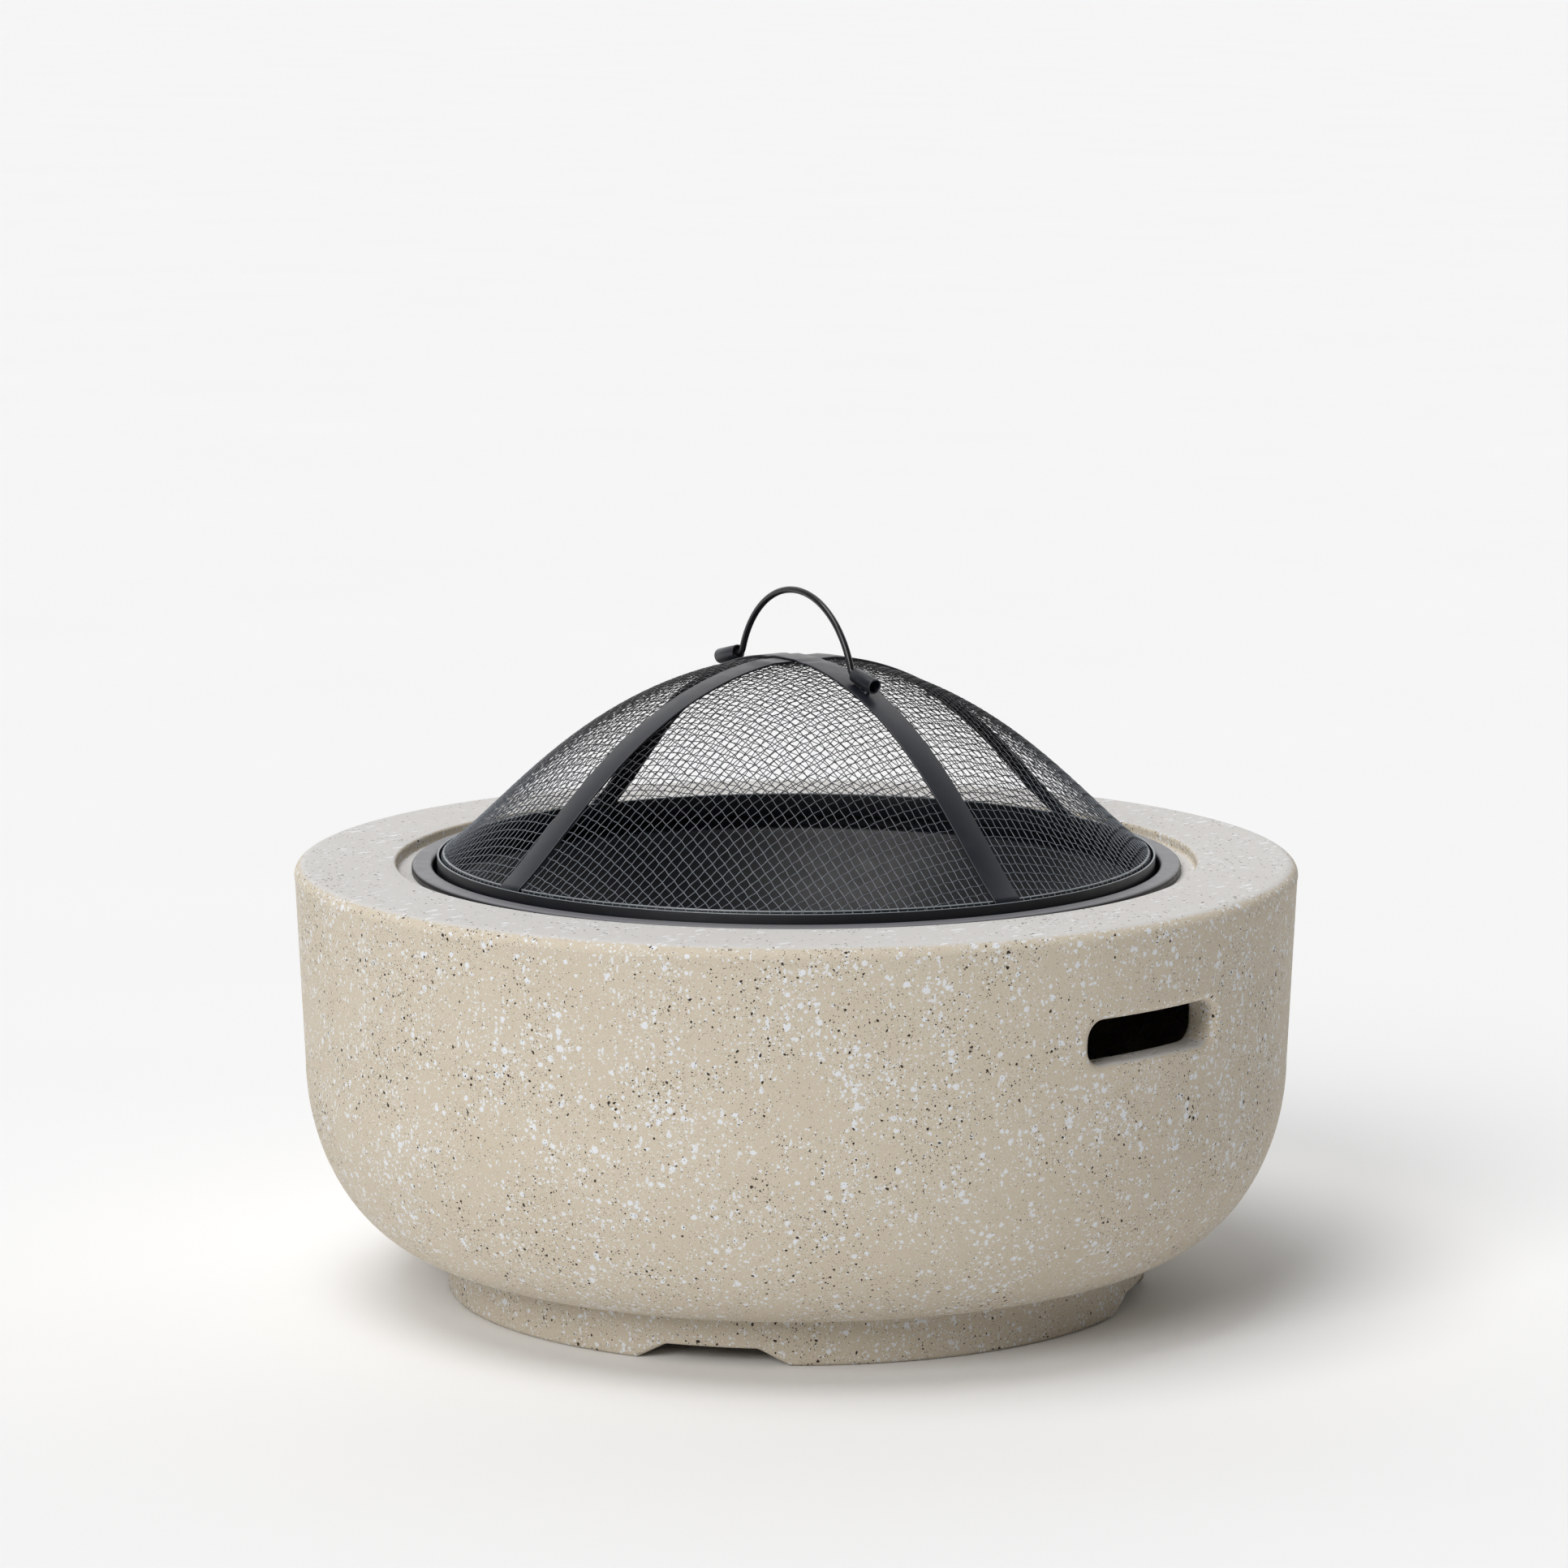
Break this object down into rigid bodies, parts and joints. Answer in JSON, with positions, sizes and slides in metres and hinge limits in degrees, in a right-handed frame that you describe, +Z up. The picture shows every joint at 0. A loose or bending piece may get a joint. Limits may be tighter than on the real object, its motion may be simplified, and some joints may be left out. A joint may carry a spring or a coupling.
{
  "type": "fire pit",
  "caption": "Round cast-stone garden fire pit with lift-out steel fire bowl, log grate and a domed wire-mesh spark guard carried by a swinging bail handle.",
  "frame": {"origin": "on the ground below the centre of the stone", "axes": "+Z up; the two hand holes are on +X and -X"},
  "size_m": [0.6, 0.5998, 0.423],
  "materials": {
    "cast_stone": "matte",
    "bowl_steel": "satin",
    "coated_steel": "matte",
    "guard_mesh": "satin",
    "grate_steel": "matte"
  },
  "bodies": {
    "stone": {"stone_body": "cast_stone"},
    "bowl": {"fire_bowl": "bowl_steel"},
    "grate": {"grate_ring": "grate_steel", "grate_bar_1": "grate_steel", "grate_bar_2": "grate_steel", "grate_bar_3": "grate_steel", "grate_bar_4": "grate_steel", "grate_bar_5": "grate_steel", "grate_bar_6": "grate_steel", "grate_bar_7": "grate_steel", "grate_bar_8": "grate_steel", "grate_leg_1": "grate_steel", "grate_leg_2": "grate_steel", "grate_leg_3": "grate_steel", "grate_leg_4": "grate_steel"},
    "guard": {"hoop_band": "coated_steel", "clamp_ring": "coated_steel", "mesh_dome": "guard_mesh", "cross_strap": "coated_steel", "handle_strap": "coated_steel", "left_pivot_tube": "coated_steel", "right_pivot_tube": "coated_steel", "left_tube_weld": "coated_steel", "right_tube_weld": "coated_steel"},
    "handle": {"bail_handle": "coated_steel"}
  },
  "joints": [
    {"name": "bowl_lift", "type": "slide", "parent": "stone", "child": "bowl", "axis": [0, 0, 1], "range_m": [0, 0.15]},
    {"name": "grate_lift", "type": "slide", "parent": "bowl", "child": "grate", "axis": [0, 0, 1], "range_m": [0, 0.14]},
    {"name": "guard_lift", "type": "slide", "parent": "bowl", "child": "guard", "axis": [0, 0, 1], "range_m": [0, 0.2]},
    {"name": "handle_swing", "type": "hinge", "parent": "guard", "child": "handle", "pos_m": [0, 0, 0.3765], "axis": [0.9863, -0.165, 0], "range_deg": [-85, 85]}
  ]
}
